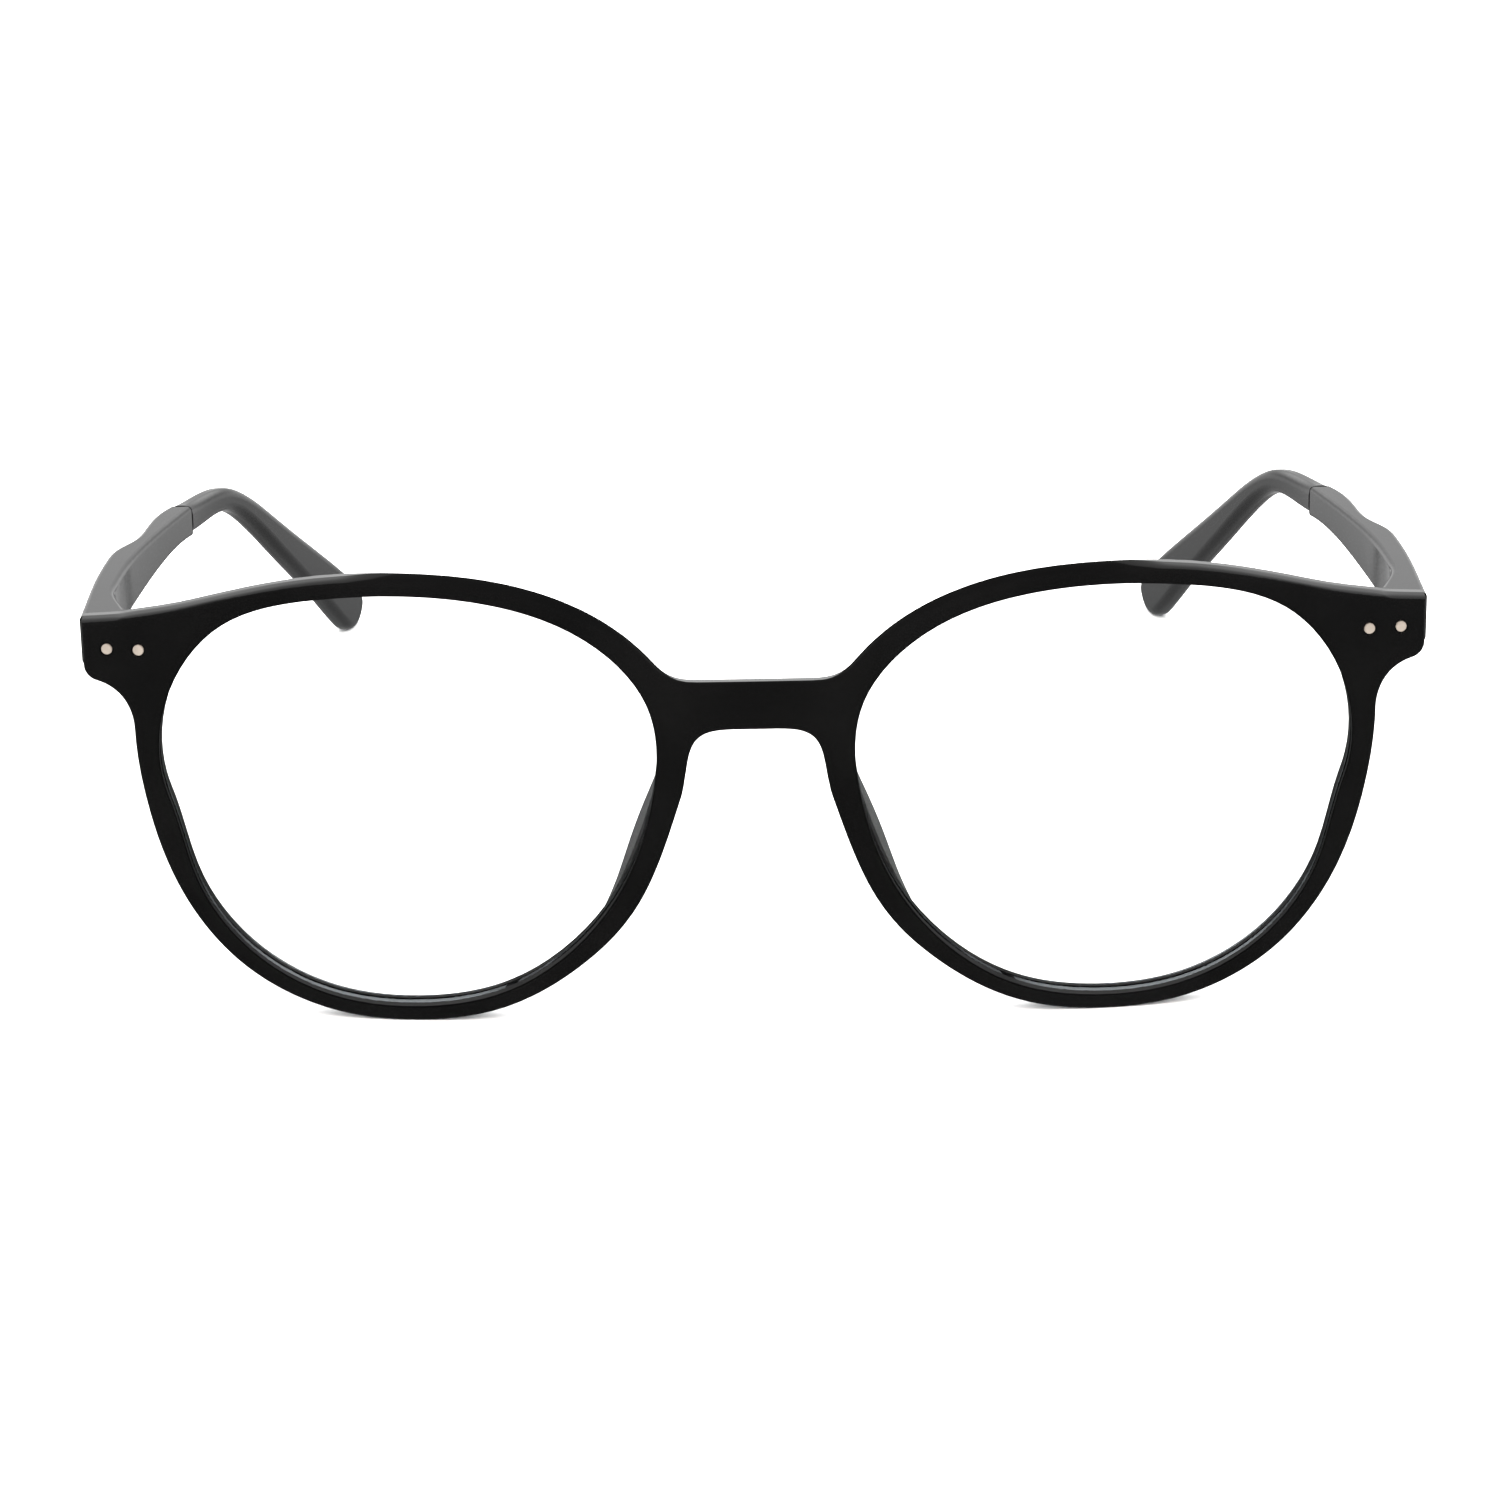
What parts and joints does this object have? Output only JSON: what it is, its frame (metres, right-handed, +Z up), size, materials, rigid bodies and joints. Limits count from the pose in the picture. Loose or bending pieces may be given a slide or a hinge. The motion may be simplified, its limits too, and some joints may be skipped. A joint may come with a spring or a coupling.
{
  "type": "eyeglasses",
  "caption": "Eyeglasses with a thick soft-cornered full rim, clear lenses, dot studs at the end pieces and temples that fold inward on barrel hinges.",
  "frame": {"origin": "centre of the bounding box of the opened glasses, on the plane they stand on", "axes": "+Z up (shortest extent), +X towards the wearer's left side, -Y the way the wearer looks; the temples run back along +Y"},
  "size_m": [0.1426, 0.1411, 0.0483],
  "materials": {
    "acetate_gloss": "polished",
    "acetate_satin": "satin",
    "clear_lens": "clear coated",
    "stud_metal": "satin",
    "hinge_metal": "satin"
  },
  "bodies": {
    "front": {"front_frame": "acetate_gloss", "lens_left": "clear_lens", "nose_pad_left": "acetate_gloss", "stud_left_outer": "stud_metal", "stud_left_inner": "stud_metal", "hinge_front_left": "hinge_metal", "hinge_screw_left": "hinge_metal", "lens_right": "clear_lens", "nose_pad_right": "acetate_gloss", "stud_right_outer": "stud_metal", "stud_right_inner": "stud_metal", "hinge_front_right": "hinge_metal", "hinge_screw_right": "hinge_metal"},
    "temple_left": {"temple_arm_left": "acetate_gloss", "hinge_temple_left": "hinge_metal", "core_wire_left": "hinge_metal", "temple_tip_left": "acetate_satin"},
    "temple_right": {"temple_arm_right": "acetate_gloss", "hinge_temple_right": "hinge_metal", "core_wire_right": "hinge_metal", "temple_tip_right": "acetate_satin"}
  },
  "joints": [
    {"name": "fold_left", "type": "hinge", "parent": "front", "child": "temple_left", "pos_m": [0.06605, -0.06041, 0.0397], "axis": [0, 0, 1], "range_deg": [0, 84]},
    {"name": "fold_right", "type": "hinge", "parent": "front", "child": "temple_right", "pos_m": [-0.06605, -0.06041, 0.0397], "axis": [0, 0, -1], "range_deg": [0, 77]}
  ]
}
